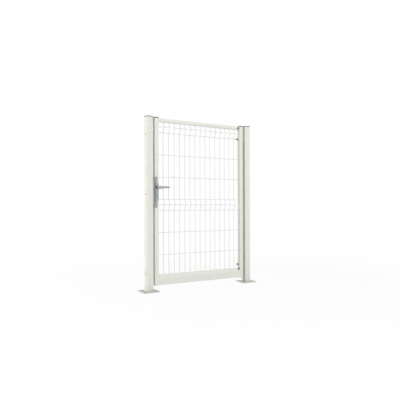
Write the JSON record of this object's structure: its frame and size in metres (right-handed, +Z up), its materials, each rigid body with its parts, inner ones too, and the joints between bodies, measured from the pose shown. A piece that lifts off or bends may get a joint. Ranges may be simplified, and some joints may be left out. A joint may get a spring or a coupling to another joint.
{
  "type": "mesh gate",
  "caption": "Single-leaf gate of folded welded mesh in a tube frame, hung on hinges between two square posts on base plates.",
  "frame": {"origin": "centre of the underside of the hinge post's base plate", "axes": "+Z up, -X along the gate from the hinge post to the latch post, -Y the street side that the picture shows"},
  "size_m": [1.21, 0.15, 1.559],
  "materials": {
    "white_paint": "satin",
    "dark_plastic": "matte",
    "base_steel": "satin",
    "lock_grey": "satin",
    "lever_metal": "brushed",
    "white_plastic": "matte",
    "fastener_black": "blackened"
  },
  "bodies": {
    "root": {"latch_post": "white_paint", "hinge_post": "white_paint", "latch_post_base": "base_steel", "hinge_post_base": "base_steel", "latch_post_cap": "dark_plastic", "hinge_post_cap": "dark_plastic", "latch_keep": "lock_grey", "upper_hinge_post_leaf": "white_paint", "lower_hinge_post_leaf": "white_paint"},
    "leaf": {"latch_stile": "white_paint", "hinge_stile": "white_paint", "top_rail": "white_paint", "bottom_rail": "white_paint", "mesh_panel": "white_paint", "latch_stile_cap": "dark_plastic", "hinge_stile_cap": "dark_plastic", "latch_stile_foot": "white_plastic", "hinge_stile_foot": "white_plastic", "upper_hinge_stile_leaf": "white_paint", "lower_hinge_stile_leaf": "white_paint", "upper_hinge_stud": "fastener_black", "lower_hinge_stud": "fastener_black", "front_lock_plate": "lock_grey", "rear_lock_plate": "lock_grey", "front_lock_case": "lock_grey", "rear_lock_case": "lock_grey", "lock_cylinder": "lever_metal", "lock_forend": "lever_metal"},
    "lever": {"front_lever": "lever_metal", "rear_lever": "lever_metal", "lever_spindle": "lever_metal"}
  },
  "joints": [
    {"name": "leaf_swing", "type": "hinge", "parent": "root", "child": "leaf", "pos_m": [-0.04, 0.038, 0], "axis": [0, 0, -1], "range_deg": [0, 160]},
    {"name": "lever_turn", "type": "hinge", "parent": "leaf", "child": "lever", "pos_m": [-0.995, -0.002, 0.929], "axis": [0, 1, 0], "range_deg": [0, 45], "stiffness_Nm_per_rad": 1.2, "springref_deg": -34.38}
  ]
}
